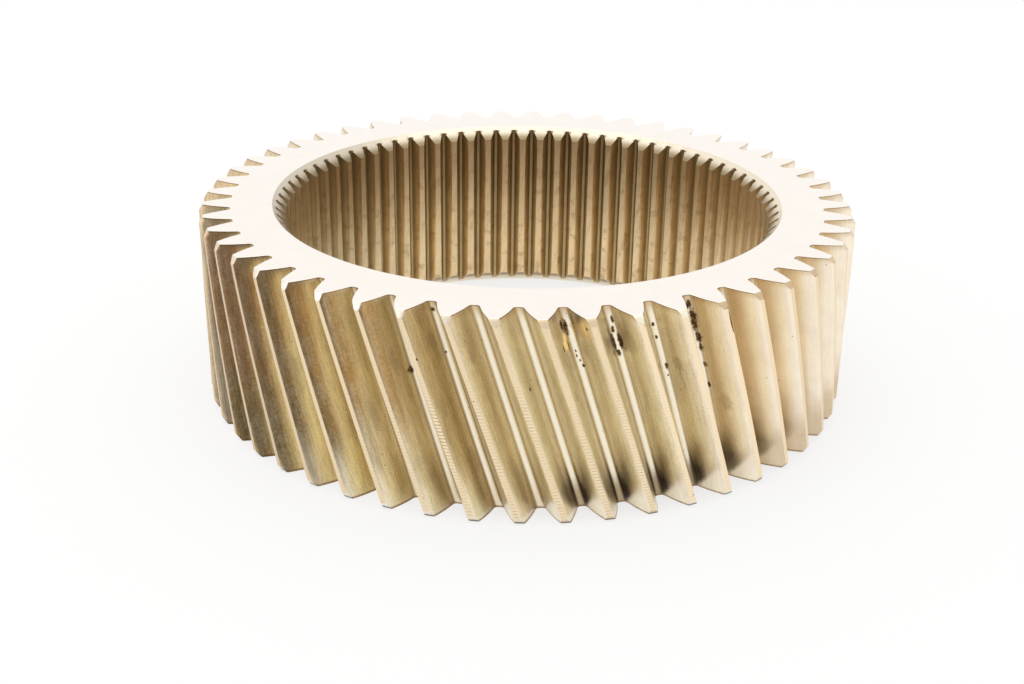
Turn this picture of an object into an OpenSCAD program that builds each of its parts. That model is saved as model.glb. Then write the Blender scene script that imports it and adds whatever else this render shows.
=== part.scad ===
// Sun gear: a ring with left-hand helical teeth outside and a straight involute spline inside.
// Millimetres. The axis is Z and the lower end face lies on Z = 0. At the upper end face
// a tooth gap is centred on -Y, and a spline groove is centred on +Y all the way down.

/* [Helical teeth] */
// Number of teeth
teeth = 51; // [47:1:58]
// Normal module
normal_module = 2.822; // [2.6:0.002:3.1]
// Normal pressure angle in degrees
pressure_angle = 22.5; // [20:0.5:24]
// Helix angle in degrees, left hand
helix_angle = 18; // [5:0.5:30]
// Height of the teeth above the pitch circle, in modules
addendum_factor = 1.2; // [1:0.05:1.25]
// Depth of the tooth gaps below the pitch circle, in modules
dedendum_factor = 1.42; // [1.1:0.02:1.5]
// Radius of the root fillets, in modules
root_fillet_factor = 0.25; // [0.05:0.05:0.3]
// Thinning of each tooth on the pitch circle, for running clearance
tooth_thinning = 0.28; // [0:0.02:0.36]

/* [Blank] */
// Width across the two end faces
face_width = 46.4; // [30:0.2:70]
// Length of the chamfer on the tooth ends, along the axis
tip_chamfer_length = 1.5; // [0.4:0.1:4]
// Depth of the chamfer on the tooth ends, below the tooth tips
tip_chamfer_depth = 1; // [0.2:0.1:2]

/* [Inner spline] */
// Number of spline teeth
spline_teeth = 75; // [66:1:80]
// Module of the spline
spline_module = 1.5875; // [1.4:0.0125:1.65]
// Pressure angle of the spline in degrees
spline_pressure_angle = 30; // [25:2.5:37.5]
// Height of the spline teeth inside the pitch circle, in modules
spline_addendum_factor = 0.5; // [0.4:0.05:0.6]
// Depth of the spline grooves outside the pitch circle, in modules
spline_dedendum_factor = 0.9; // [0.7:0.05:0.9]
// Radius of the fillets at the bottom of the spline grooves, in modules
groove_fillet_factor = 0.2; // [0.1:0.05:0.3]
// Radial step from the groove bottoms to the outer edge of the lead-in
lead_in_margin = 0.8; // [0.2:0.1:2]
// Angle between the lead-in and the axis, in degrees
lead_in_angle = 45; // [30:5:60]

/* [Hidden] */

// Steps along the helix, up an involute side and round a fillet
helix_steps = 4;
side_steps = 3;
fillet_steps = 3;

// How far the cutting outlines reach past the surface that they cut
overrun = 0.2;

transverse_angle = atan(tan(pressure_angle) / cos(helix_angle));
pitch_radius = teeth * normal_module / cos(helix_angle) / 2;
tip_radius = pitch_radius + addendum_factor * normal_module;
root_radius = pitch_radius - dedendum_factor * normal_module;
tooth_pitch = 360 / teeth;
half_thinning = tooth_thinning / cos(helix_angle) / 2;
twist_per_mm = arc_angle(tan(helix_angle), pitch_radius);

spline_pitch_radius = spline_teeth * spline_module / 2;
spline_tip_radius = spline_pitch_radius - spline_addendum_factor * spline_module;
groove_radius = spline_pitch_radius + spline_dedendum_factor * spline_module;
groove_pitch = 360 / spline_teeth;

lead_in_radius = groove_radius + lead_in_margin;
lead_in_depth = (lead_in_radius - spline_tip_radius) / tan(lead_in_angle);

// Angle that an arc length takes up on a circle
function arc_angle(arc, radius) = arc / radius * 180 / PI;

function polar(radius, angle) = [radius * cos(angle), radius * sin(angle)];

function blend(a, b, t) = a + (b - a) * t;

// Point on a smooth curve that cuts the corner between two points
function rounded(a, corner, b, t) = blend(blend(a, corner, t), blend(corner, b, t), t);

function reversed(list) = [for (i = [len(list) - 1 : -1 : 0]) list[i]];

// Slope of an involute to the radius, zero below its base circle
function slope_at(base_radius, radius) = acos(min(1, base_radius / radius));

function involute(slope) = tan(slope) * 180 / PI - slope;

// Angle that an involute turns through from the pitch circle to another radius
function involute_turn(pitch_r, slope, radius) =
    involute(slope_at(pitch_r * cos(slope), radius)) - involute(slope);

// Half angles of a tooth gap and of a spline groove at a radius
gap_half = function (radius) tooth_pitch / 4 + arc_angle(half_thinning, pitch_radius)
    + involute_turn(pitch_radius, transverse_angle, radius);
groove_half = function (radius) groove_pitch / 4
    - involute_turn(spline_pitch_radius, spline_pressure_angle, radius);

// One side of a gap or groove: from its floor, round the fillet and up the involute to its mouth
function space_side(turn, side, half, floor_radius, mouth_radius, fillet) =
    let (corner_angle = half(floor_radius),
         floor_angle = max(0, corner_angle - arc_angle(fillet, floor_radius)),
         foot_radius = floor_radius + fillet * sign(mouth_radius - floor_radius),
         floor_end = polar(floor_radius, turn + side * floor_angle),
         corner = polar(floor_radius, turn + side * corner_angle),
         foot = polar(foot_radius, turn + side * half(foot_radius)))
    concat(
        [for (i = [0 : fillet_steps]) rounded(floor_end, corner, foot, i / fillet_steps)],
        [for (i = [1 : side_steps])
            let (radius = blend(foot_radius, mouth_radius, i / side_steps))
            polar(radius, turn + side * half(radius))]);

// Outline of one gap or groove, counter-clockwise about the axis
function space(turn, half, floor_radius, mouth_radius, fillet) = concat(
    reversed(space_side(turn, -1, half, floor_radius, mouth_radius, fillet)),
    space_side(turn, 1, half, floor_radius, mouth_radius, fillet));

// Blank as turned: tooth tips with chamfered ends, flat end faces and a bore with a lead-in
module turned_blank() {
    rotate_extrude($fn = 180)
        polygon([
            [lead_in_radius, 0],
            [tip_radius - tip_chamfer_depth, 0],
            [tip_radius, tip_chamfer_length],
            [tip_radius, face_width - tip_chamfer_length],
            [tip_radius - tip_chamfer_depth, face_width],
            [lead_in_radius, face_width],
            [spline_tip_radius, face_width - lead_in_depth],
            [spline_tip_radius, lead_in_depth]]);
}

// Everything that the hob leaves standing: the toothed outline, twisted along the helix
module hobbed_teeth() {
    outline = [for (k = [0 : teeth - 1])
        each space(k * tooth_pitch - 90, gap_half, root_radius, tip_radius + overrun,
                   root_fillet_factor * normal_module)];
    cut_length = face_width + 2 * overrun;
    translate([0, 0, -overrun])
        rotate(twist_per_mm * (face_width + overrun))
            linear_extrude(cut_length, twist = twist_per_mm * cut_length, slices = helix_steps)
                polygon(outline);
}

// Straight broach that cuts the spline grooves through the bore
module spline_broach() {
    outline = [for (k = [0 : spline_teeth - 1])
        each space(k * groove_pitch + 90, groove_half, groove_radius, spline_tip_radius - overrun,
                   groove_fillet_factor * spline_module)];
    translate([0, 0, -overrun])
        linear_extrude(face_width + 2 * overrun)
            polygon(outline);
}

module sun_gear() {
    color("#b8a078")
        intersection() {
            hobbed_teeth();
            difference() {
                turned_blank();
                spline_broach();
            }
        }
}

sun_gear();
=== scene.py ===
# %% [markdown]
# # A sun gear
# A sun gear is the middle wheel of a planetary gearbox. This one is a steel ring with slanted teeth outside
# and a straight spline inside, and it has seen use. The lesson draws one tooth gap and one spline groove,
# repeats them round the axis, paints the finish and sets up the picture. The solid part is loaded first. It
# stays where it is, and its box is the room that the finer model has to stay inside.

# %% Load the solid part
import math

import bmesh
import bpy
import numpy as np
from mathutils import Matrix, Vector


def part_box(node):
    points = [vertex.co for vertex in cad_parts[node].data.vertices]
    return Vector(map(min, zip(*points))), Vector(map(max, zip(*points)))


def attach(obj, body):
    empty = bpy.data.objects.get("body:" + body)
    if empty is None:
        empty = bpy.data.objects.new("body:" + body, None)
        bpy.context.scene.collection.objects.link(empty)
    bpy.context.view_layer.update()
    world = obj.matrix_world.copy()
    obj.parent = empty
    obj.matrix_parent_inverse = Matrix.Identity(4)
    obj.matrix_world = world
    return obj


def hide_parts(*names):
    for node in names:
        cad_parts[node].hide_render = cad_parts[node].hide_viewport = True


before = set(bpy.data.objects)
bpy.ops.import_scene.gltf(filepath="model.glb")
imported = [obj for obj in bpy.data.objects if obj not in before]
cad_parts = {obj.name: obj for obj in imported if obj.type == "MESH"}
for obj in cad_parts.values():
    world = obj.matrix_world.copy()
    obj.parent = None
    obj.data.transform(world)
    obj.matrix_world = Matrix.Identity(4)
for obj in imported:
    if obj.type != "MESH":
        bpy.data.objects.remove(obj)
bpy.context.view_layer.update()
MM = 0.001
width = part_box("sun_gear")[1].z / MM
tip_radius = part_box("sun_gear")[1].x / MM
print(f"{list(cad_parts)}: {width:.2f} mm wide, {2 * tip_radius:.2f} mm across")

# %% [markdown]
# ## The involute
# The side of a gear tooth is an involute, the path of the end of a string that is unwound from a circle.
# Teeth of that form roll on each other without rubbing much. They could be modelled by eye, but the angle
# of an involute at any radius has a short formula, so the gap between two teeth is worked out from the
# sizes that a gear drawing gives, in millimetres and degrees.

# %% Sizes of the teeth
TEETH = 51
MODULE = 2.822
HELIX = math.radians(18)
NORMAL_PRESSURE = math.radians(22.5)
DEDENDUM = 1.42
CLEARANCE = 0.28

pressure = math.atan(math.tan(NORMAL_PRESSURE) / math.cos(HELIX))
pitch_radius = TEETH * MODULE / math.cos(HELIX) / 2
root_radius = pitch_radius - DEDENDUM * MODULE
tooth_pitch = 2 * math.pi / TEETH
twist = math.tan(HELIX) / pitch_radius
thinning = CLEARANCE / math.cos(HELIX) / 2 / pitch_radius


def involute_turn(pitch, slope, radius):
    at_radius = np.arccos(np.minimum(1, pitch * math.cos(slope) / radius))
    return np.tan(at_radius) - at_radius - math.tan(slope) + slope


def gap_half(radius):
    return tooth_pitch / 4 + thinning + involute_turn(pitch_radius, pressure, radius)


land_width = 2 * tip_radius * (tooth_pitch / 2 - gap_half(tip_radius))
print(f"roots at {root_radius:.2f} mm, tip lands {land_width:.2f} mm wide")

# %% [markdown]
# ## One side of a gap
# Seen along the axis, a tooth gap and a spline groove have the same parts: a floor, a small fillet, the
# involute, a broken edge and the land. So one function walks up either of them in pairs of radius and
# angle, and mirrors the walk for the other side. A Bevel modifier could break the edges, but it would have
# to find them among thousands. Here the edge is broken by a twentieth of a millimetre, as a deburring brush
# leaves it, because an edge with no width never catches the light.

# %% Walk up one side
BREAK = 0.05
ROOT_FILLET = 0.25 * MODULE


def walk(half, floor_radius, mouth_radius, fillet, pitch, flank_steps, land_steps, fillet_steps):
    to_mouth = math.copysign(1, mouth_radius - floor_radius)
    foot_radius = floor_radius + to_mouth * fillet
    corner = half(floor_radius)
    ends = np.array([[floor_radius, max(0, corner - fillet / floor_radius)],
                     [floor_radius, corner],
                     [foot_radius, half(foot_radius)]])
    t = np.linspace(0, 1, fillet_steps + 1)[:, None]
    rounding = (1 - t) ** 2 * ends[0] + 2 * t * (1 - t) * ends[1] + t ** 2 * ends[2]
    up = np.linspace(foot_radius, mouth_radius - to_mouth * BREAK, flank_steps + 1)[1:]
    flank_points = np.stack([up, half(up)], -1)
    land_angle = np.linspace(half(mouth_radius) + BREAK / mouth_radius, pitch / 2, land_steps + 1)
    land_points = np.stack([np.full(land_steps + 1, mouth_radius), land_angle], -1)
    side = np.concatenate([rounding, flank_points, land_points])
    return np.concatenate([side[::-1] * (1, -1), side])


def gap_walk(mouth_radius):
    return walk(gap_half, root_radius, mouth_radius, ROOT_FILLET, tooth_pitch,
                flank_steps=7, land_steps=1, fillet_steps=3)


print("points across one tooth gap:", len(gap_walk(tip_radius)))

# %% [markdown]
# ## The seam between outside and inside
# The teeth come 51 to a turn and the spline grooves 75, so their edges never meet. The two are joined on a
# circle in the middle of each end face instead. It has 1275 points, the smallest number that 51 and 75 both
# divide, so every gap and every groove takes a whole number of steps and ends exactly on its neighbour.

# %% Rows of points
GROOVES = 75
SEAM_RADIUS = 66.8
FRONT, BACK = -math.pi / 2, math.pi / 2
groove_pitch = 2 * math.pi / GROOVES
groove_start = BACK - groove_pitch / 2
SEAM_POINTS = math.lcm(TEETH, GROOVES)
seam_step = 2 * math.pi / SEAM_POINTS


def to_row(walk_points, turn, height):
    radius, angle = walk_points[:, 0], walk_points[:, 1] + turn
    return np.stack([radius * np.cos(angle), radius * np.sin(angle), np.full(len(radius), height)], -1)


def seam_row(start, steps, height):
    from_groove = (start - groove_start) / seam_step
    on_the_seam = start + (round(from_groove) - from_groove) * seam_step
    angle = on_the_seam + seam_step * np.arange(steps + 1)
    return to_row(np.stack([np.full(steps + 1, SEAM_RADIUS), angle], -1), 0, height)


print("points on the seam circle:", SEAM_POINTS)

# %% [markdown]
# ## The sheet of one tooth gap
# The outside is cut into 51 equal sheets. One sheet starts on the seam of the upper face, runs out to the
# gap, down its walls and back in under the lower face. Each row is turned a little against the last, and
# that makes the helix. A Screw modifier would twist a profile too, but it couldn't follow the chamfer,
# which cuts the tooth ends back. Here the tips of the end rows sink with the chamfer, so the line where it
# meets the flank is a clean edge of the mesh. The outermost rows are pulled in by the width of the broken
# edge.

# %% Heights of the rows
CHAMFER_LENGTH, CHAMFER_DEPTH = 1.5, 1.0
CHAMFER_ROWS = CHAMFER_LENGTH * np.array([0.35, 0.7, 1])
ROWS_BETWEEN = 15

between = np.linspace(width - CHAMFER_LENGTH, CHAMFER_LENGTH, ROWS_BETWEEN + 2)[1:-1]
heights = np.concatenate([[width - BREAK], width - CHAMFER_ROWS, between, CHAMFER_ROWS[::-1], [BREAK]])


def mouth_at(height):
    into_chamfer = 1 - min(height, width - height) / CHAMFER_LENGTH
    return tip_radius - CHAMFER_DEPTH * max(0, into_chamfer)


print(f"{len(heights)} rows, tips from {mouth_at(0):.2f} to {mouth_at(width / 2):.2f} mm")

# %% [markdown]
# The outline of an end face is moved inwards at right angles to itself. The neighbours of its first and
# last point lie on the next sheets, so they are found by turning the outline by one pitch.

# %% Rows of the tooth gap


def pulled_in(points, pitch, amount):
    cos, sin = math.cos(pitch), math.sin(pitch)
    turned = np.array([[cos, sin, 0], [-sin, cos, 0], [0, 0, 1]])
    before, after = points[-2] @ turned.T, points[1] @ turned
    around = np.concatenate([[before], points, [after]])
    along = around[2:] - around[:-2]
    along /= np.linalg.norm(along, axis=1, keepdims=True)
    return points + amount * np.stack([-along[:, 1], along[:, 0], 0 * along[:, 2]], -1)


def tooth_turn(height):
    return FRONT + twist * (width - height)


def gap_row(height):
    return to_row(gap_walk(mouth_at(height)), tooth_turn(height), height)


def end_rows(height):
    seam = seam_row(tooth_turn(height) - tooth_pitch / 2, SEAM_POINTS // TEETH, height)
    return [seam, pulled_in(gap_row(height), tooth_pitch, BREAK)]


gap_rows = [*end_rows(width), *[gap_row(h) for h in heights], *end_rows(0)[::-1]]
print("rows of a tooth gap:", len(gap_rows))

# %% [markdown]
# ## The sheet of one spline groove
# The spline was cut by a broach, a long tool with many teeth that is pulled through the bore, so its
# grooves are straight and need few rows. A cone at each end, the lead-in, helps the hub to find its way in.
# On the cone the rows first stay round, and then sink into the grooves while the spline teeth grow to their
# full height. Two Booleans, a groove and a cone cut from a tube, would do the same with long thin triangles.

# %% Rows of the spline groove
SPLINE_MODULE = 1.5875
SPLINE_PRESSURE = math.radians(30)
SPLINE_ADDENDUM, SPLINE_DEDENDUM = 0.5, 0.9
GROOVE_FILLET = 0.2 * SPLINE_MODULE
LEAD_IN_MARGIN = 0.8
NOTCHED_FROM, NOTCHED_ROWS = 0.6, 5

spline_pitch_radius = GROOVES * SPLINE_MODULE / 2
spline_tip_radius = spline_pitch_radius - SPLINE_ADDENDUM * SPLINE_MODULE
groove_radius = spline_pitch_radius + SPLINE_DEDENDUM * SPLINE_MODULE
lead_in_radius = groove_radius + LEAD_IN_MARGIN


def groove_half(radius):
    return groove_pitch / 4 - involute_turn(spline_pitch_radius, SPLINE_PRESSURE, radius)


def groove_walk(mouth_radius):
    return walk(groove_half, groove_radius, mouth_radius, GROOVE_FILLET, groove_pitch,
                flank_steps=3, land_steps=2, fillet_steps=2)


def round_walk(radius):
    angle = groove_walk(spline_tip_radius)[:, 1]
    return np.stack([np.full(len(angle), radius), angle], -1)


cone_walks = [(radius, round_walk(radius)) for radius in (lead_in_radius, groove_radius)]
for radius in np.linspace(groove_radius - NOTCHED_FROM, spline_tip_radius, NOTCHED_ROWS):
    cone_walks.append((radius, groove_walk(radius)))
upper_cone = [to_row(points, BACK, width - lead_in_radius + radius) for radius, points in cone_walks]
lower_cone = [to_row(points, BACK, lead_in_radius - radius) for radius, points in cone_walks[::-1]]
upper_seam, lower_seam = [seam_row(groove_start, SEAM_POINTS // GROOVES, h) for h in (width, 0)]
groove_rows = [upper_seam, *upper_cone, *lower_cone, lower_seam]
print(f"rows of a spline groove: {len(groove_rows)}, bore {2 * spline_tip_radius:.2f} mm")

# %% [markdown]
# ## Sheets to meshes
# A stack of rows becomes a mesh when each pair of rows is joined by quads. The two sheets are only patterns
# for the next step, and are taken away after it.

# %% Two pattern sheets


def sheet(name, rows):
    count = len(rows[0])
    corner = np.arange(len(rows) - 1)[:, None] * count + np.arange(count - 1)
    quads = np.stack([corner, corner + count, corner + count + 1, corner + 1], -1).reshape(-1, 4)
    mesh = bpy.data.meshes.new(name)
    mesh.from_pydata((np.concatenate(rows) * MM).tolist(), [], quads.tolist())
    made = bpy.data.objects.new(name, mesh)
    bpy.context.scene.collection.objects.link(made)
    return made


gap_sheet = sheet("gap_sheet", gap_rows)
groove_sheet = sheet("groove_sheet", groove_rows)
print("faces of the sheets:", len(gap_sheet.data.polygons), len(groove_sheet.data.polygons))

# %% [markdown]
# ## Turning the sheets into a ring
# A workshop cuts equal teeth with an indexing head, which turns the blank by one step after each cut.
# Geometry Nodes does the same here: points are numbered, and the copy on each point is turned by its number
# times the step. An Array modifier with an empty could repeat one sheet, but a tree takes both sheets and
# both counts at once. This function builds the branch for one of them.

# %% One branch of the indexing tree


def turned_copies(tree, inputs, pattern, count):
    add, link = tree.nodes.new, tree.links.new
    source = add("GeometryNodeObjectInfo")
    points = add("GeometryNodePoints")
    index = add("GeometryNodeInputIndex")
    step, angle = add("ShaderNodeMath"), add("ShaderNodeMath")
    turn = add("ShaderNodeCombineXYZ")
    copies = add("GeometryNodeInstanceOnPoints")
    step.operation, angle.operation = "DIVIDE", "MULTIPLY"
    step.inputs[0].default_value = 2 * math.pi
    link(inputs.outputs[pattern], source.inputs["Object"])
    link(inputs.outputs[count], points.inputs["Count"])
    link(inputs.outputs[count], step.inputs[1])
    link(step.outputs[0], angle.inputs[0])
    link(index.outputs[0], angle.inputs[1])
    link(angle.outputs[0], turn.inputs["Z"])
    link(points.outputs[0], copies.inputs["Points"])
    link(source.outputs["Geometry"], copies.inputs["Instance"])
    link(turn.outputs[0], copies.inputs["Rotation"])
    return copies.outputs[0]


print("branch ready: one copy of a sheet at each step")

# %% [markdown]
# The whole tree joins the two branches, makes the copies real, welds the seams and gives the steel, so the
# gear comes out as one closed skin.

# %% The indexing tree
steel = bpy.data.materials.new("gear_steel")
head = bpy.data.node_groups.new("indexing_head", "GeometryNodeTree")
head.interface.new_socket("Geometry", in_out="OUTPUT", socket_type="NodeSocketGeometry")
for name, kind in (("Tooth gap", "Object"), ("Teeth", "Int"), ("Spline groove", "Object"),
                   ("Grooves", "Int"), ("Weld", "Float"), ("Steel", "Material")):
    head.interface.new_socket(name, in_out="INPUT", socket_type="NodeSocket" + kind)

inputs = head.nodes.new("NodeGroupInput")
joined = head.nodes.new("GeometryNodeJoinGeometry")
for pattern, count in (("Spline groove", "Grooves"), ("Tooth gap", "Teeth")):
    head.links.new(turned_copies(head, inputs, pattern, count), joined.inputs[0])
real = head.nodes.new("GeometryNodeRealizeInstances")
weld = head.nodes.new("GeometryNodeMergeByDistance")
painted = head.nodes.new("GeometryNodeSetMaterial")
output = head.nodes.new("NodeGroupOutput")
for before, after in ((joined, real), (real, weld), (weld, painted), (painted, output)):
    head.links.new(before.outputs[0], after.inputs[0])
head.links.new(inputs.outputs["Weld"], weld.inputs["Distance"])
head.links.new(inputs.outputs["Steel"], painted.inputs["Material"])
print("nodes in the indexing tree:", len(head.nodes))

# %% [markdown]
# ## Running the tree
# A modifier runs the tree, and its inputs are set by their identifiers. The finished part has to be a plain
# mesh without a modifier, so the result is copied into a new object, and the holder and the two patterns
# go.

# %% Run the tree and keep a plain mesh
WELD = 0.002 * MM
holder = bpy.data.objects.new("gear_holder", bpy.data.meshes.new("gear_holder"))
bpy.context.scene.collection.objects.link(holder)
modifier = holder.modifiers.new("indexing", "NODES")
modifier.node_group = head
settings = {"Tooth gap": gap_sheet, "Teeth": TEETH, "Spline groove": groove_sheet,
            "Grooves": GROOVES, "Weld": WELD, "Steel": steel}
for item in head.interface.items_tree:
    if item.in_out == "INPUT":
        modifier[item.identifier] = settings[item.name]
bpy.context.view_layer.update()
evaluated = holder.evaluated_get(bpy.context.evaluated_depsgraph_get())
gear_mesh = bpy.data.meshes.new_from_object(evaluated)
gear_mesh.name = "sun_gear_skin"
for pattern in (holder, gap_sheet, groove_sheet):
    bpy.data.objects.remove(pattern)
gear = bpy.data.objects.new("sun_gear_skin", gear_mesh)
bpy.context.scene.collection.objects.link(gear)
print("faces of the gear:", len(gear_mesh.polygons))

# %% [markdown]
# ## Closed and crisp
# A closed skin has no open edge, and its normals all point out. The normals are put right, the open edges
# are counted, and the volume can be compared with the solid's. Edges over 30 degrees keep flat shading on
# both sides, so the flanks look smooth and the lands stay crisp.

# %% Close, turn out, shade
CRISP_ANGLE = math.radians(30)
work = bmesh.new()
work.from_mesh(gear_mesh)
bmesh.ops.recalc_face_normals(work, faces=work.faces)
open_edges = sum(not edge.is_manifold for edge in work.edges)
print(f"open edges {open_edges}, volume {work.calc_volume() / MM ** 3:.0f} mm3, faces {len(work.faces)}")
work.to_mesh(gear_mesh)
work.free()
gear_mesh.shade_smooth()
gear_mesh.set_sharp_from_angle(angle=CRISP_ANGLE)

# %% [markdown]
# ## Writing shader sums in Python
# A finish is a long sum of small masks, and the node graph of such a sum is hard to read. The class below
# wraps a socket, so that a sum is written as it is on paper and Python adds the Math nodes. Every other
# node comes from its one method `node`. A mask is a number from 0 to 1, and the last four methods make
# masks: `ramp` rises between two values, `fall` sinks, `band` rises and then sinks, and `near` is a soft
# hump.

# %% The wire class


class Wire:
    tree = None

    def __init__(self, socket):
        self.socket = socket

    @staticmethod
    def node(kind, settings=None, values=None, out=0):
        made = Wire.tree.nodes.new("ShaderNode" + kind)
        for name, value in (settings or {}).items():
            setattr(made, name, value)
        for name, value in (values or {}).items():
            if isinstance(value, Wire):
                Wire.tree.links.new(value.socket, made.inputs[name])
            else:
                made.inputs[name].default_value = value
        return Wire(made.outputs[out])

    @staticmethod
    def maths(operation, *terms):
        return Wire.node("Math", {"operation": operation}, dict(enumerate(terms)))

    def output(self, name):
        return Wire(self.socket.node.outputs[name])

    def __add__(self, other):
        return Wire.maths("ADD", self, other)

    def __radd__(self, other):
        return Wire.maths("ADD", other, self)

    def __sub__(self, other):
        return Wire.maths("SUBTRACT", self, other)

    def __rsub__(self, other):
        return Wire.maths("SUBTRACT", other, self)

    def __mul__(self, other):
        return Wire.maths("MULTIPLY", self, other)

    def __rmul__(self, other):
        return Wire.maths("MULTIPLY", other, self)

    def __truediv__(self, other):
        return Wire.maths("DIVIDE", self, other)

    def __rtruediv__(self, other):
        return Wire.maths("DIVIDE", other, self)

    def ramp(self, low, high):
        return Wire.node("MapRange", {"interpolation_type": "SMOOTHSTEP"},
                         {"Value": self, "From Min": low, "From Max": high})

    def fall(self, low, high):
        return 1 - self.ramp(low, high)

    def band(self, rising, falling):
        return self.ramp(*rising) * self.fall(*falling)

    def near(self, centre, reach):
        return Wire.maths("ABSOLUTE", self - centre).fall(0, reach)


print("masks ready: ramp, fall, band and near")

# %% [markdown]
# Colours can't go through Math nodes, which would turn them grey, so two helpers use Mix nodes. `mix` lays
# a colour over another through a mask, as a coat of paint with a certain share, and `shade` multiplies a
# colour by a number. From here on every node goes into the steel.

# %% Helpers for colour
steel.use_nodes = True
steel.node_tree.nodes.clear()
Wire.tree = steel.node_tree


def opaque(colour):
    return (*colour, 1) if isinstance(colour, tuple) else colour


def mix(below, above, mask, share=1):
    factor = mask if share == 1 else mask * share
    return Wire.node("Mix", {"data_type": "RGBA"},
                     {"Factor": factor, 6: opaque(below), 7: opaque(above)}, out=2)


def shade(colour, factor):
    return Wire.node("Mix", {"data_type": "RGBA", "blend_type": "MULTIPLY"},
                     {"Factor": 1.0, 6: opaque(colour), 7: factor}, out=2)


def combine(x, y, z):
    return Wire.node("CombineXYZ", values={"X": x, "Y": y, "Z": z})


def tell(step):
    print(f"{step}: {len(Wire.tree.nodes)} nodes so far")


tell("empty steel")

# %% [markdown]
# ## Coordinates of a gear
# Marks on a gear follow its teeth. So the place of a point is worked out as a gear cutter would name it:
# `radius` and `height` in millimetres, and `gap`, the number of the gap it lies in. Gap 0 is the one at the
# front of the upper face, and the numbers grow to the right. A whole number is the middle of a gap at any
# height, because the helix is turned back first. A UV map could hold the same, but it would need a seam.

# %% Gear coordinates
place = Wire.node("TexCoord", out="Object")
millimetres = Wire.node("VectorMath", {"operation": "SCALE"}, {0: place, "Scale": 1 / MM})
sideways = Wire.node("SeparateXYZ", values={0: millimetres})
height = sideways.output("Z")
depth = width - height
straight = Wire.node("VectorRotate", {"rotation_type": "Z_AXIS"},
                     {"Vector": millimetres, "Angle": depth * -twist})
straight_x = Wire.node("SeparateXYZ", values={0: straight})
straight_y = straight_x.output("Y")
radius = Wire.maths("SQRT", straight_x * straight_x + straight_y * straight_y)
gap = Wire.maths("ARCTAN2", straight_x, straight_y * -1) / tooth_pitch
aside = gap - Wire.maths("ROUND", gap, 0.0)
unrolled = combine(gap * (tooth_pitch * pitch_radius), radius, height)
tell("gear coordinates")

# %% [markdown]
# ## Zones of the gear
# The lathe, the hob, the broach and the grinding wheel each leave their own surface. A material for each
# face group would give hard borders, so each zone is a mask of one or two comparisons instead. `rise` runs
# from 0 on the floor of a gap to 1 at the tip of a tooth, and `across_floor` counts millimetres from the
# middle of a gap.

# %% Zones
SKIN_DEPTH = (0.02, 0.06)
BORE_RIM, ROOT_RIM = (62.0, 62.4), (70.5, 71.0)
MIDDLE_OF_GAP = (-0.03, 0.03)
STRIP_LEFT, STRIP_RIGHT = (-0.80, -0.22), (0.50, 0.90)
FILLET_BOTTOM, FILLET_TOP = (0.03, 0.10), (0.30, 0.60)
floor_pitch = tooth_pitch * root_radius

from_end = Wire.maths("MINIMUM", height, depth)
on_ends = from_end.fall(*SKIN_DEPTH)
inside = radius.fall(*BORE_RIM) * (1 - on_ends)
outside = radius.ramp(*ROOT_RIM) * (1 - on_ends)

above_floor = radius - root_radius
rise = above_floor / (tip_radius - root_radius)
right_wall = aside.ramp(*MIDDLE_OF_GAP)
left_wall = 1 - right_wall
across_floor = aside * floor_pitch
floor_strip = across_floor.band(STRIP_LEFT, STRIP_RIGHT) * outside
fillet = above_floor.band(FILLET_BOTTOM, FILLET_TOP)
tell("zones of the gaps")

# %% [markdown]
# The tip lands are the outside of the turned blank, and the facets are what its chamfer leaves on the tooth
# ends. In the bore, the valleys are the bottoms of the grooves, and the cone is the lead-in.

# %% Zones of the blank and the bore
FACET_SKIN, FACET_FADE = (-0.08, -0.02), 0.1
VALLEY_TOP, VALLEY_BOTTOM = spline_tip_radius + 0.5, groove_radius - 0.2
CONE_SKIN = 0.12

land = (tip_radius - radius).fall(*SKIN_DEPTH) * outside
over_chamfer = radius - from_end * (CHAMFER_DEPTH / CHAMFER_LENGTH) - (tip_radius - CHAMFER_DEPTH)
near_end = from_end.fall(CHAMFER_LENGTH - FACET_FADE, CHAMFER_LENGTH)
facet = over_chamfer.ramp(*FACET_SKIN) * near_end * outside
valley = radius.ramp(VALLEY_TOP, VALLEY_BOTTOM)
cone = (radius + from_end).near(lead_in_radius, CONE_SKIN) * inside
tell("zones of the blank and the bore")

# %% [markdown]
# ## Noise for wear
# Nothing on a used gear is even. Fine and broad streaks run along the teeth, as the cutter drew them, so
# their noise is squeezed across the tooth and stretched along it. Blotches are the stains of old oil, grain
# is the roughness that a bare eye can just see, and wobble frays the edges of marks. All are centred on
# zero.

# %% Noise
FINE_STRETCH, BROAD_STRETCH = (2.6, 4.0, 0.24), (0.5, 0.8, 0.05)


def noise(vector, scale, detail=2.0, roughness=0.5):
    return Wire.node("TexNoise", {"noise_dimensions": "3D"},
                     {"Vector": vector, "Scale": scale, "Detail": detail, "Roughness": roughness}) - 0.5


def stretched(stretch):
    return Wire.node("VectorMath", {"operation": "MULTIPLY"}, {0: unrolled, 1: stretch})


fine_streaks = noise(stretched(FINE_STRETCH), scale=1.0, roughness=0.7)
hairlines = fine_streaks.near(0.08, 0.03)
broad_streaks = noise(stretched(BROAD_STRETCH), scale=1.0)
blotches = noise(unrolled, scale=0.16, detail=3.0, roughness=0.55)
grain = noise(millimetres, scale=4.0, roughness=0.6)
wobble = noise(millimetres, scale=1.6, detail=3.0, roughness=0.65)
tell("noise")
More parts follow.
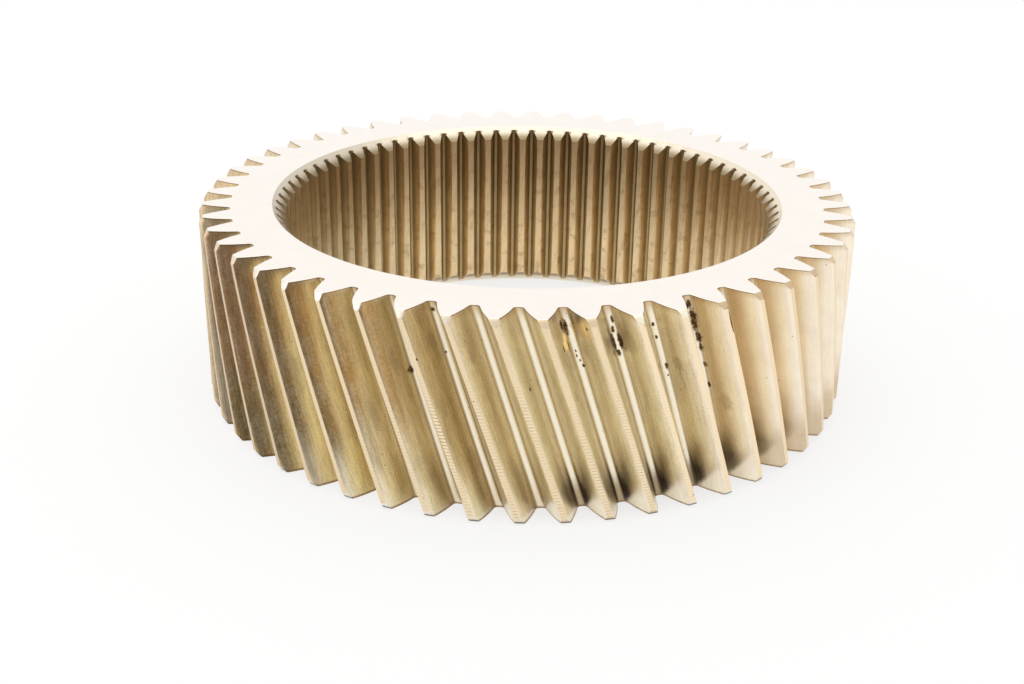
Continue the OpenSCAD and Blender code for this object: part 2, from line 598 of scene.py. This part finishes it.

# %% [markdown]
# ## Straw-coloured flanks
# Steel that is tempered after hardening takes a thin straw-coloured skin. It is palest near the tips and
# more olive down in the gaps. Each step from here on lays one colour over the last through a mask, as a
# painter glazes. A colour is that of the metal's reflection. This first coat is kept, because the painted
# shade and light fade back to it on the far side of the gear.

# %% Straw skin
STRAW_DEEP, STRAW_PALE, STRAW_TIP = (0.86, 0.76, 0.55), (0.96, 0.87, 0.67), (0.94, 0.82, 0.62)
PALE_RISE, TIP_RISE = (0.15, 0.65), (0.8, 0.97)
flank = mix(STRAW_DEEP, STRAW_PALE, rise.ramp(*PALE_RISE))
flank = mix(flank, STRAW_TIP, rise.ramp(*TIP_RISE))
even_flank = flank
tell("straw skin")

# %% [markdown]
# ## Painted shade on the left
# Painted shade darkens the left walls of the gaps to the left of the front to brown, near the tips. It
# grows redder further round and thin at the very edge. Next to it, painted shade makes the walls dull
# olive. The foot of the gear is left out of it there.

# %% Olive walls, painted shade
OLIVE, DULL_OLIVE = (0.81, 0.66, 0.35), (0.72, 0.59, 0.35)
FOOT_HEIGHT = (5.0, 15.0)
foot = height.fall(*FOOT_HEIGHT)
# painted shade: dull olive on the left walls near the front
dull = left_wall * gap.near(-2.4, reach=2.2) * (1 - foot)
flank = mix(flank, DULL_OLIVE, dull, share=0.9)
# painted shade: olive lower down on the left walls, left of the front
olive = left_wall * gap.fall(-5.5, -2.0) * rise.fall(0.5, 0.9)
flank = mix(flank, OLIVE, olive, share=0.85)
tell("olive walls")

# %% [markdown]
# The painted shade near the tips is a mask of its place times an uneven share, so that it breaks up.
# In one patch of it a pale painted reflection is laid over instead.

# %% Painted shade near the tips
LEFT_SHADE_LOW, LEFT_SHADE_HIGH = (0.33, 0.22, 0.09), (0.49, 0.295, 0.115)
LEFT_SHADE_RED, LEFT_SHADE_THIN, PALE_PATCH = (0.62, 0.35, 0.17), (0.70, 0.53, 0.33), (0.98, 0.85, 0.61)
SHADED_GAPS, SHADED_RISE = (-4.2, -1.0), (0.42, 0.80)
unshaded_foot = foot * gap.ramp(-7.2, -5.8)
upper_half = height.ramp(24.0, 40.0)
far_left = gap.fall(-8.4, -6.6)
towards_tip = (rise + upper_half * 0.12 + far_left * 0.15).ramp(*SHADED_RISE)
# painted shade: brown near the tips of the left walls, redder further left
left_shade = left_wall * gap.fall(*SHADED_GAPS) * (1 - unshaded_foot) * towards_tip
left_shade_colour = mix(LEFT_SHADE_LOW, LEFT_SHADE_HIGH, height.ramp(8.0, 34.0))
left_shade_colour = mix(left_shade_colour, LEFT_SHADE_RED, far_left * height.ramp(6.0, 30.0), share=0.9)
left_shade_colour = mix(left_shade_colour, LEFT_SHADE_THIN, gap.fall(-10.1, -9.6))
flank = mix(flank, left_shade_colour, left_shade * (0.88 + blotches * 0.9 + wobble * 0.9))
# painted reflection: a pale patch inside the painted shade
pale_patch = left_wall * gap.near(-3.8, reach=1.7) * height.near(15.0, reach=11.0)
flank = mix(flank, PALE_PATCH, pale_patch, share=0.7)
tell("left_shade")

# %% [markdown]
# ## Painted light on the right
# To the right of the front, painted light makes the walls a clear gold near the tips, and painted shade
# makes them a warm brown lower down. The foot of the gear is browner all along the front.

# %% Gold walls
GOLD, WARM_BROWN = (0.99, 0.86, 0.70), (0.80, 0.62, 0.44)
FOOT_RIGHT, FOOT_FRONT = (0.69, 0.54, 0.36), (0.48, 0.36, 0.18)
# painted light: gold near the tips of the right walls
gold = right_wall * gap.ramp(0.8, 4.0) * rise.ramp(0.5, 0.85)
flank = mix(flank, GOLD, gold, share=0.9)
# painted shade: warm brown lower down on the right walls
warm = right_wall * gap.ramp(3.0, 5.0) * rise.fall(0.40, 0.78)
flank = mix(flank, WARM_BROWN, warm, share=0.8)
flank = mix(flank, FOOT_RIGHT, gap.ramp(4.2, 5.6) * foot, share=0.85)
brown_foot = foot * rise.fall(0.3, 0.75) * gap.ramp(-5.0, -2.5)
flank = mix(flank, FOOT_FRONT, brown_foot, share=0.5)
tell("gold walls")

# %% [markdown]
# ## The far side and the streaks
# The gap numbers meet at the back of the gear, and a painted mark that ran on to there would end in a hard
# line. So the painted shade and light and the browner foot fade into the even straw skin on the far side.
# Then the streaks of the cutter are drawn over all of it, weaker on the right, where the flanks are smooth.

# %% Far side and streaks
HAIRLINE = (0.52, 0.43, 0.27)
FAR_GAPS = (14.0, 19.0)
behind = Wire.maths("ABSOLUTE", gap).ramp(*FAR_GAPS)
flank = mix(flank, even_flank, behind)
to_the_right = gap.ramp(2.5, 5.5)
streaky = 1 - to_the_right * (1 - behind) * 0.75
streaks = (fine_streaks + broad_streaks * 0.5) * streaky
flank = shade(flank, 1 + streaks + blotches * 0.3 + grain * streaky * 0.8)
flank = mix(flank, HAIRLINE, hairlines * streaky, share=0.3)
tell("far side and streaks")

# %% [markdown]
# ## Wear and soot at the lower ends
# At the lower end of each front tooth a slanting line crosses the wall, from the corner of the floor up to
# the tip. The mating gear ran only above it. Below it the corner is bare and pale, and above it the wall
# darkens. `past_end` is the height over that line, and it wobbles a little.

# %% Slanting wear
DUSK, BARE_CORNER = (0.50, 0.39, 0.23), (0.95, 0.85, 0.66)
LINE_HEIGHT, LINE_WOBBLE = 8.0, 1.2
SOOT_FROM, SOOT_TO = (-0.9, 0.2), (5.6, 7.0)
BARE_FROM, BARE_TO = (-2.5, -1.0), (4.0, 5.0)
past_end = height + wobble * LINE_WOBBLE - rise * LINE_HEIGHT
soot_gaps = gap.band(SOOT_FROM, SOOT_TO)
above_line = past_end.band((-0.6, 1.2), (1.0, 5.0)) * (1 - rise.ramp(0.55, 0.95) * 0.6)
flank = mix(flank, DUSK, soot_gaps * right_wall * above_line, share=0.5)
below_line = past_end.fall(-0.9, 0.5) * rise.ramp(0.10, 0.35)
flank = mix(flank, BARE_CORNER, gap.band(BARE_FROM, BARE_TO) * below_line, share=0.5)
tell("slanting wear")

# %% [markdown]
# Burnt grease has settled in the corner above the line, close to the floor and mostly on the right walls.
# Its edges are frayed by noise. Further to the right it is fainter and reaches higher.

# %% Soot
SOOT = (0.05, 0.04, 0.03)
SOOT_HEIGHT, SOOT_RISE = (4.4, 9.0), (0.20, 0.58)
low_down = (height + wobble * 2.0 - to_the_right * 2.5).fall(*SOOT_HEIGHT)
close_to_floor = (rise + wobble * 0.2 - to_the_right * 0.2 + left_wall * 0.12).fall(*SOOT_RISE)
soot = soot_gaps * past_end.ramp(-1.0, 0.9) * low_down * close_to_floor * outside
soot = soot * (1 - to_the_right * 0.55) * (0.45 + across_floor.ramp(0.0, 0.8) * 0.5)
flank = mix(flank, SOOT, soot)
tell("soot")

# %% [markdown]
# ## Painted reflection on the floors and painted shade lines
# The floors of the gaps get a painted reflection, and they are nearly white. A brown line of painted shade
# lies in the fillet on each side of a floor, and a second, finer one on the right walls, about a
# millimetre above the floor. Near the soot the lines are black.

# %% Painted shade lines
FILLET_SHADE, FILLET_BLACK_SHADE, SHADE_LINE_BROWN = (0.46, 0.35, 0.21), (0.10, 0.075, 0.05), (0.42, 0.32, 0.19)
line_share = 0.45 + gap.fall(-1.9, -1.2) * (1 - behind) * 0.4
# painted shade in the fillets on each side of a floor
flank = mix(flank, FILLET_SHADE, fillet * line_share * (1 + broad_streaks))
# painted shade in the fillets, black near the soot
black_fillet_shade = fillet * soot_gaps * (height + wobble * 3).fall(6.0, 12.0)
flank = mix(flank, FILLET_BLACK_SHADE, black_fillet_shade, share=0.75)
# painted shade: a fine line on the right walls, about a millimetre above the floor
SHADE_LINE_HEIGHT, SHADE_LINE_WIDTH = 1.05, 0.14
wall_shade_line = above_floor.near(SHADE_LINE_HEIGHT, SHADE_LINE_WIDTH) * right_wall * gap.ramp(-0.6, 0.4) * (1 - behind)
flank = mix(flank, SHADE_LINE_BROWN, wall_shade_line * (0.5 + blotches))
tell("brown lines")

# %% [markdown]
# The floor strip, a painted reflection, is laid over the lines, so its edges are clean. It is duller near
# the two ends, painted shade makes it brown at the bottom of the front gaps, and on the right the soot
# covers it.

# %% Floor strips, painted reflection
REFLECTION_DULL, REFLECTION_BRIGHT, REFLECTION_SHADE = (0.80, 0.66, 0.47), (1.0, 0.92, 0.75), (0.50, 0.36, 0.20)
# painted reflection on the floor strip, duller near its two ends
reflection_level = depth.ramp(0.4, 3.5) * (0.55 + height.ramp(2.0, 9.0) * 0.45)
floor_reflection = mix(REFLECTION_DULL, REFLECTION_BRIGHT, reflection_level)
BROWN_HEIGHT = (3.0, 8.0)
# painted shade: the floor strip turns brown at the bottom of the front gaps
reflection_end_shade = soot_gaps * (height + wobble * 2.0).fall(*BROWN_HEIGHT)
floor_reflection = mix(floor_reflection, REFLECTION_SHADE, reflection_end_shade, share=0.85)
covered = soot * (0.15 + gap.ramp(1.2, 2.8) * 0.8)
flank = mix(flank, floor_reflection, floor_strip * (1 - covered))
tell("floor strips")

# %% [markdown]
# ## Edges of the end faces
# The upper ends of the gaps turn tan over the last millimetre, and the edges themselves keep a thin brown
# line. Along the lower edges this line is painted contact shadow.

# %% Edge lines
EDGE_TAN, EDGE_BROWN = (0.60, 0.42, 0.22), (0.30, 0.18, 0.08)
TAN_DEPTH, UPPER_LINE, LOWER_LINE = (0.3, 1.8), (0.10, 0.38), (0.20, 0.70)
flank = mix(flank, EDGE_TAN, depth.fall(*TAN_DEPTH) * (0.4 + wobble))
# the line along the lower edges is painted contact shadow
edge_lines = depth.fall(*UPPER_LINE) + height.fall(*LOWER_LINE)
flank = mix(flank, EDGE_BROWN, edge_lines * (0.9 + wobble * 1.2))
tell("edge lines")

# %% [markdown]
# ## Lands and turning marks
# The outside of the blank was turned on a lathe before the teeth were cut, and the tool left a groove at
# each three quarters of a millimetre of feed. The tip lands keep them as fine light and dark dashes. They
# are deepest on the lands left of the front, half way up, and worn away towards the top. A sine of the
# height draws them.

# %% Where the turning marks show
FEED = 0.75
ripple = Wire.maths("SINE", height * (2 * math.pi / FEED) + wobble * 1.5) * 0.5 + 0.5
patches = (blotches + 0.5).ramp(0.38, 0.60) * 0.6 + 0.4
patchy = patches * gap.near(-0.5, reach=6.5) * (1 - height.ramp(24.0, 35.0) * 0.85)
deep_marks = gap.near(-2.5, reach=0.7) * height.near(21.0, reach=9.0)
broken_up = (wobble + 0.5).ramp(0.30, 0.62) * 0.8 + 0.2
marked = land * (patchy * 0.45 + deep_marks * 0.55) * broken_up
tell("turning marks")

# %% [markdown]
# The lands are duller on the left and brightest a little right of the front. The crests of the marks get a
# painted highlight and the troughs painted shade, so that the dashes show under any light.

# %% Lands
LAND, LAND_LEFT, LAND_RIGHT = (0.89, 0.72, 0.48), (0.72, 0.58, 0.41), (0.99, 0.81, 0.56)
MARK_HIGHLIGHT, MARK_SHADE = (0.99, 0.88, 0.67), (0.42, 0.29, 0.15)
land_colour = mix(LAND, LAND_LEFT, gap.fall(-8.0, -5.0) * (1 - behind))
land_colour = mix(land_colour, LAND_RIGHT, gap.band((1.0, 2.5), (4.5, 6.5)))
flank = mix(flank, land_colour, land)
# painted highlight on the crests of the turning marks, painted shade in the troughs
flank = mix(flank, MARK_HIGHLIGHT, marked * ripple.ramp(0.5, 0.85))
flank = mix(flank, MARK_SHADE, marked * ripple.fall(0.1, 0.4))
tell("lands")

# %% [markdown]
# ## Facets at the tooth ends
# The chamfer of the blank leaves a small facet on each end of a tooth. The facets were turned too and are
# bright, but their colour changes round the gear. Those underneath are painted black, as contact shadow.

# %% Facets
FACET, FACET_LEFT, FACET_BRIGHT = (0.80, 0.64, 0.43), (0.92, 0.89, 0.80), (0.98, 0.92, 0.74)
FACET_DULL, FACET_SHADE = (0.66, 0.50, 0.31), (0.15, 0.10, 0.06)
facet_colour = mix(FACET, FACET_LEFT, gap.near(-4.5, reach=5.5))
facet_colour = mix(facet_colour, FACET_BRIGHT, gap.band((1.8, 2.2), (3.6, 4.2)))
facet_colour = mix(facet_colour, FACET_DULL, gap.band((3.8, 4.6), (8.0, 9.0)))
# painted contact shadow: the facets underneath are nearly black
facet_colour = mix(facet_colour, FACET_SHADE, height.fall(0.35, 0.9))
flank = mix(flank, facet_colour, facet)
tell("facets")

# %% [markdown]
# ## Rust, smudges and a golden chip
# A few marks of this one gear are listed: rust pits on the floors of the gaps, smudges on the
# walls, and a chip of golden varnish. Each is the number of its gap, its height, and the half width and
# half length of the mark in millimetres. Painting them on an image would be the usual way, but then the
# gear would need a UV map and a picture file.

# %% Places of the marks
RUST_PITS = [
    (0.93, 42.1, 0.55, 2.1), (0.84, 43.0, 0.30, 1.2), (0.99, 36.6, 0.20, 0.35), (0.98, 35.5, 0.22, 0.4),
    (1.03, 34.5, 0.22, 0.35), (1.07, 33.3, 0.30, 0.45), (1.35, 43.8, 0.15, 0.4), (2.05, 43.2, 0.35, 1.0),
    (2.00, 40.8, 0.40, 0.9), (1.94, 38.0, 0.35, 2.3), (2.09, 38.2, 0.50, 2.1), (1.98, 35.5, 0.50, 0.9),
    (3.00, 41.0, 0.40, 0.5), (3.00, 38.0, 0.35, 0.5), (3.07, 31.0, 0.35, 0.9), (3.05, 28.8, 0.20, 0.3),
    (4.02, 44.2, 0.70, 1.2), (4.06, 40.4, 0.70, 3.6), (4.08, 36.3, 0.55, 1.7), (4.09, 33.8, 0.40, 1.1),
    (4.10, 29.6, 0.30, 0.8), (4.10, 24.5, 0.25, 0.8), (4.55, 42.0, 0.22, 3.0), (-2.05, 44.6, 0.45, 0.55),
    (-2.06, 35.4, 0.22, 0.3), (-3.00, 39.0, 0.30, 0.7), (-3.09, 30.5, 0.50, 0.9), (-2.44, 36.4, 0.14, 0.3),
    (-0.28, 30.2, 0.12, 0.5), (0.74, 39.0, 0.12, 0.9), (0.86, 38.4, 0.14, 1.3)]
SMUDGES = [
    (-1.30, 37.0, 0.35, 2.0), (-2.20, 38.6, 0.40, 2.2), (-2.32, 25.5, 0.40, 2.2), (-2.19, 11.8, 0.60, 3.8),
    (-3.25, 33.0, 0.40, 3.0), (-4.25, 20.0, 0.45, 4.0), (-6.28, 24.0, 0.40, 5.0), (0.67, 28.7, 0.30, 1.4),
    (1.14, 42.2, 1.10, 1.8), (1.20, 38.0, 0.35, 2.4), (2.22, 39.4, 1.00, 3.0), (3.22, 32.7, 0.50, 1.8),
    (4.24, 21.1, 0.60, 2.6)]
GOLD_CHIP = [(0.80, 39.2, 0.50, 1.5), (0.83, 40.6, 0.40, 0.8)]
print(f"{len(RUST_PITS)} rust pits, {len(SMUDGES)} smudges")

# %% [markdown]
# For each mark, a distance is measured that is 1 on the mark's outline. The smallest of these distances,
# frayed by noise, gives one mask for the whole list.

# %% Masks of the marks
MARK_EDGE = (0.55, 1.15)
wall_place = combine(gap * floor_pitch, height, 0.0)


def marks(places, fray):
    nearest = None
    for number, up, half_width, half_length in places:
        stretch = (1 / half_width, 1 / half_length, 0)
        shift = (-number * floor_pitch / half_width, -up / half_length, 0)
        away = Wire.node("VectorMath", {"operation": "MULTIPLY_ADD"}, {0: wall_place, 1: stretch, 2: shift})
        distance = Wire.node("VectorMath", {"operation": "LENGTH"}, {0: away}, out="Value")
        nearest = Wire.maths("MINIMUM", nearest, distance) if nearest else distance
    return (nearest + wobble * fray).fall(*MARK_EDGE) * outside


rust = marks(RUST_PITS, fray=1.3)
smudge = marks(SMUDGES, fray=1.5) * 0.45
chip = marks(GOLD_CHIP, fray=1.0)
tell("masks of the marks")

# %% [markdown]
# Rust is dark with lighter brown crumbs in it. The small specks all over the gear come from Voronoi cells:
# each cell may hold one dot, and only about one in five does.

# %% Rust, smudges and specks
RUST_DARK, RUST_LIGHT = (0.12, 0.066, 0.03), (0.42, 0.23, 0.09)
SMUDGE, CHIP = (0.46, 0.35, 0.21), (1.0, 0.80, 0.40)
rust_colour = mix(RUST_DARK, RUST_LIGHT, (wobble + 0.5).ramp(0.46, 0.66))
flank = mix(flank, SMUDGE, smudge)
flank = mix(flank, rust_colour, rust)
flank = mix(flank, CHIP, chip)
CELLS_PER_MM, DOT_SIZE, DOT_CHANCE = 0.5, (0.05, 0.11), (0.78, 0.80)
dots = Wire.node("TexVoronoi", {"feature": "F1"}, {"Vector": unrolled, "Scale": CELLS_PER_MM})
chance = Wire.node("SeparateXYZ", values={0: dots.output("Color")})
specks = dots.fall(*DOT_SIZE) * chance.ramp(*DOT_CHANCE) * (1 - inside)
tell("rust, smudges and specks")

# %% [markdown]
# ## The bore
# The broached spline is browner than the teeth, with spots of oil. Painted light from the floor makes it
# lighter towards its lower end, so it is darkest towards the upper end, and painted shade darkens the
# bottom of its grooves. The lead-in cone is dark within and bright on its outer rim. The bore is a little
# darker at its left end, where less light gets in.

# %% Bore
BORE_LOW, BORE_HIGH = (0.86, 0.67, 0.40), (0.57, 0.42, 0.24)
VALLEY_LOW, VALLEY_HIGH = (0.43, 0.32, 0.17), (0.30, 0.225, 0.115)
OIL, CONE_DARK, CONE_RIM = (0.42, 0.28, 0.14), (0.33, 0.25, 0.14), (0.88, 0.78, 0.62)
CONE_SPAN, LEFT_SPAN = (59.0, 61.0), (30.0, 52.0)
up_the_bore = height.ramp(8.0, 42.0)
# painted light from the floor: the bore is lighter towards its lower end
bore = mix(BORE_LOW, BORE_HIGH, up_the_bore)
# painted shade at the bottom of the grooves
bore = mix(bore, mix(VALLEY_LOW, VALLEY_HIGH, up_the_bore), valley, share=0.9)
oil_spots = noise(millimetres, scale=0.35, detail=3.0, roughness=0.6).ramp(0.02, 0.18)
bore = mix(bore, OIL, oil_spots, share=0.5)
bore = shade(bore, 1 + broad_streaks * 0.5 + grain * 0.4)
bore = mix(bore, mix(CONE_DARK, CONE_RIM, radius.ramp(*CONE_SPAN)), cone)
left_end = (sideways * -1).ramp(*LEFT_SPAN)
bore = shade(bore, 1 - left_end * 0.25)
tell("bore")

# %% [markdown]
# ## End faces
# The end faces were ground flat to run against washers, and are the brightest surface of all. Now the
# flanks, the bore and the end faces are put together, each in its zone, and the specks go on last.

# %% All zones together
GROUND, SPECK = (0.965, 0.91, 0.845), (0.36, 0.24, 0.13)
ground = shade(GROUND, 1 + blotches * 0.06 + grain * 0.06)
colour = mix(flank, bore, inside)
colour = mix(colour, ground, on_ends)
colour = mix(colour, SPECK, specks * (0.85 - on_ends * 0.45))
tell("all zones")

# %% [markdown]
# ## The finished steel
# The steel is all metal, so its colour is the colour of its reflections. Rust and soot are duller than
# clean steel, and the ground faces a little glossier. The fine streaks also go into a bump, only two
# hundredths of a millimetre deep. The golden chip gets a faint gleam of its own, because it is too small to
# catch a lamp.

# %% The finished steel
CHIP_GLEAM = (1.0, 0.62, 0.18)
STREAK_DEPTH = 0.02 * MM


def to_output(tree, kind, shader):
    output = tree.nodes.new("ShaderNodeOutput" + kind)
    tree.links.new(shader.socket, output.inputs["Surface"])


roughness = 0.35 - on_ends * 0.05 + rust * 0.3 + soot * 0.2 + smudge * 0.1 + fine_streaks * 0.15
relief = Wire.node("Bump", values={"Strength": 0.4, "Distance": STREAK_DEPTH, "Height": fine_streaks})
surface = Wire.node("BsdfPrincipled", values={
    "Base Color": colour, "Metallic": 1.0, "Roughness": roughness, "Normal": relief,
    "Emission Color": mix((0, 0, 0), CHIP_GLEAM, chip), "Emission Strength": 0.3})
to_output(steel.node_tree, "Material", surface)
tell("finished steel")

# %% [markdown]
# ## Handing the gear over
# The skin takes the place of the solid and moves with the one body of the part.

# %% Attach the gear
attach(gear, "root")
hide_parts("sun_gear")
print(gear.name, "stands for sun_gear")

# %% [markdown]
# ## Camera
# The view is that of a 50 mm lens about a third of a metre away, looking down on the gear. The numbers are
# the distance to the middle of the upper face, the height of the camera as an angle, and small turns of the
# camera about its own axes. A Track To constraint would aim at one point, but it can't give the roll.

# %% Camera
CAMERA_DISTANCE = 0.35549
CAMERA_HEIGHT, CAMERA_TILT = math.radians(18.186), math.radians(5.851)
CAMERA_PAN, CAMERA_ROLL = math.radians(0.536), math.radians(0.795)
ROUND_THE_GEAR = math.radians(1.006)
FOCAL_LENGTH, SENSOR_WIDTH = 50.69, 36
CLIP_NEAR, CLIP_FAR = 0.01, 20

look = CAMERA_HEIGHT + CAMERA_TILT
pan = Matrix.Rotation(CAMERA_PAN, 3, "Z")
ahead = pan @ Vector((0, math.cos(look), -math.sin(look)))
right = pan @ Vector((1, 0, 0))
up = right.cross(ahead)
rolled_right = math.cos(CAMERA_ROLL) * right + math.sin(CAMERA_ROLL) * up
rolled_up = math.cos(CAMERA_ROLL) * up - math.sin(CAMERA_ROLL) * right
axes = Matrix((rolled_right, rolled_up, -ahead)).transposed()
about_gear = Matrix.Rotation(ROUND_THE_GEAR, 3, "Z")
stand = about_gear @ Vector((0, -math.cos(CAMERA_HEIGHT), math.sin(CAMERA_HEIGHT))) * CAMERA_DISTANCE
upper_middle = Vector((0, 0, width * MM))

lens = bpy.data.cameras.new("camera")
lens.lens, lens.sensor_width, lens.sensor_fit = FOCAL_LENGTH, SENSOR_WIDTH, "HORIZONTAL"
lens.clip_start, lens.clip_end = CLIP_NEAR, CLIP_FAR
camera = bpy.data.objects.new("camera", lens)
bpy.context.scene.collection.objects.link(camera)
camera.matrix_world = Matrix.Translation(stand + upper_middle) @ (about_gear @ axes).to_4x4()
bpy.context.scene.camera = camera
print("camera at", [round(v, 3) for v in camera.matrix_world.translation])

# %% [markdown]
# ## Floor
# The gear lies on one big white plane. To keep it white without too much light on the gear, nearly three
# quarters of what the camera and the steel see of it is its own glow. The rest takes the light and the
# shadow of the gear. Light Path tells which rays come from the camera or from a mirroring surface.

# %% Floor
SIDE = 4.0
FLOOR_WHITE, GLOW_SHARE = (0.92, 0.92, 0.91, 1), 0.72
WHITE = (1, 1, 1, 1)
corners = [(-SIDE, -SIDE, 0), (SIDE, -SIDE, 0), (SIDE, SIDE, 0), (-SIDE, SIDE, 0)]
table_mesh = bpy.data.meshes.new("table")
table_mesh.from_pydata(corners, [], [(0, 1, 2, 3)])
table = bpy.data.objects.new("table", table_mesh)
bpy.context.scene.collection.objects.link(table)
white = bpy.data.materials.new("table_white")
white.use_nodes = True
white.node_tree.nodes.clear()
table_mesh.materials.append(white)
Wire.tree = white.node_tree


def seen_rays():
    path = Wire.node("LightPath", out="Is Camera Ray")
    mirrored_or_through = path.output("Is Glossy Ray") + path.output("Is Transmission Ray")
    return Wire.maths("MINIMUM", path + mirrored_or_through, 1.0)


matt = Wire.node("BsdfDiffuse", values={"Color": FLOOR_WHITE})
glow = Wire.node("Emission", values={"Color": WHITE, "Strength": 1.0})
blend = Wire.node("MixShader", values={0: seen_rays() * GLOW_SHARE, 1: matt, 2: glow})
to_output(white.node_tree, "Material", blend)
tell("floor")

# %% [markdown]
# ## World
# A white room lights the gear softly from all sides. Where the steel mirrors the room, the part behind the
# camera and low down is dim, as a real room is there. Without it the walls of the teeth that face the
# camera would be as pale as the end faces.

# %% World
ROOM_LIGHT = 0.95
DIM_FRONT, DIM_UP_TO = (0.47, 0.82), (0.35, 0.6)
world = bpy.data.worlds.new("studio")
world.use_nodes = True
world.node_tree.nodes.clear()
bpy.context.scene.world = world
Wire.tree = world.node_tree
direction = Wire.node("SeparateXYZ", values={0: Wire.node("TexCoord", out="Generated")})
dim_room = (direction.output("Y") * -1).ramp(*DIM_FRONT) * direction.output("Z").fall(*DIM_UP_TO)
mirrored = Wire.node("LightPath", out="Is Glossy Ray")
light = ROOM_LIGHT + seen_rays() * (1 - ROOM_LIGHT) - mirrored * dim_room * ROOM_LIGHT
sky = Wire.node("Background", values={"Color": WHITE, "Strength": light})
to_output(world.node_tree, "World", sky)
tell("world")

# %% [markdown]
# ## Lamps
# Two large square lamps, as softboxes in a studio, give the light a direction: one overhead and a weaker
# one from the left. Large lamps make soft shadows. The colours are shown as they are written, without a
# film look.

# %% Lamps


def softbox(name, at, size, power):
    lamp = bpy.data.lights.new(name, "AREA")
    lamp.shape, lamp.size, lamp.energy = "SQUARE", size, power
    made = bpy.data.objects.new(name, lamp)
    made.location = at
    made.rotation_euler = (-Vector(at)).to_track_quat("-Z", "Y").to_euler()
    bpy.context.scene.collection.objects.link(made)
    print(f"{name}: {size} m wide, {power} W")


softbox("overhead", at=(0.0, 0.1, 1.0), size=1.2, power=2.2)
softbox("left_window", at=(-0.9, -0.6, 0.6), size=0.7, power=1.0)
bpy.context.scene.view_settings.view_transform = "Standard"
